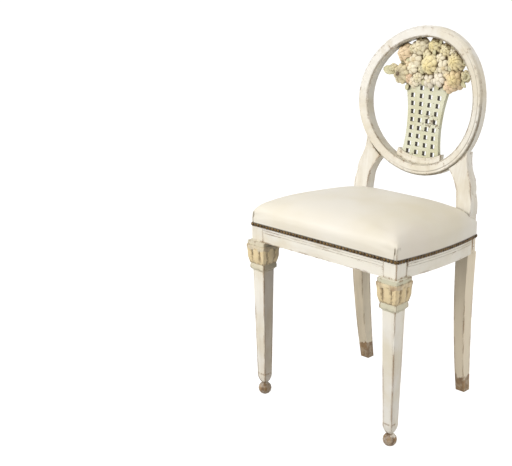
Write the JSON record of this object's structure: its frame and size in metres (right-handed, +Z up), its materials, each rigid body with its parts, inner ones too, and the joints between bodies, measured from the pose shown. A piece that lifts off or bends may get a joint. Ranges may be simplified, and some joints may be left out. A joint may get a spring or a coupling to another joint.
{
  "type": "side chair",
  "caption": "Painted wooden side chair with a round hollowed open back, a pierced flower-basket splat, sabre rear legs, tapered ball-footed front legs and a nailed leather seat.",
  "frame": {"origin": "on the floor under the middle of the chair's bounding box", "axes": "+X towards the sitter's left, +Y towards the chair's back, +Z up"},
  "size_m": [0.453, 0.4304, 0.8964],
  "materials": {
    "cream_paint": "cream paint worn through to the wood on arrises, feet and carving",
    "basket_paint": "pale sage green paint, rubbed",
    "flower_paint": "flowers painted in yellow, peach, cream and white with grey-green leaves",
    "bare_beech": "bare sawn beech",
    "screw_steel": "dull steel wood screws",
    "jute_webbing": "woven jute straps",
    "hessian_cloth": "open woven hessian",
    "seat_stuffing": "hair and wadding stuffing",
    "cream_leather": "cream hide with a soft low sheen",
    "dust_cloth": "thin black dust cloth",
    "aged_brass": "dark antique brass"
  },
  "bodies": {
    "root": {"front_leg_left": "cream_paint", "front_leg_right": "cream_paint", "rear_leg_left": "cream_paint", "rear_leg_right": "cream_paint", "front_rail": "cream_paint", "rear_rail": "cream_paint", "side_rail_left": "cream_paint", "side_rail_right": "cream_paint", "corner_block_front_left": "bare_beech", "corner_block_front_right": "bare_beech", "corner_block_rear_left": "bare_beech", "corner_block_rear_right": "bare_beech", "corner_block_screws": "screw_steel", "ring_top": "cream_paint", "ring_bottom": "cream_paint", "ring_side_left": "cream_paint", "ring_side_right": "cream_paint", "ring_dowels": "bare_beech", "post_dowels": "bare_beech", "basket_splat": "basket_paint", "splat_shoe": "cream_paint", "flower_bouquet": "flower_paint", "webbing_lengthwise": "jute_webbing", "webbing_crosswise": "jute_webbing", "hessian": "hessian_cloth", "seat_padding": "seat_stuffing", "leather_cover": "cream_leather", "dust_cover": "dust_cloth", "nailheads_front": "aged_brass", "nailheads_left": "aged_brass", "nailheads_right": "aged_brass", "nailheads_rear": "aged_brass"}
  },
  "joints": []
}
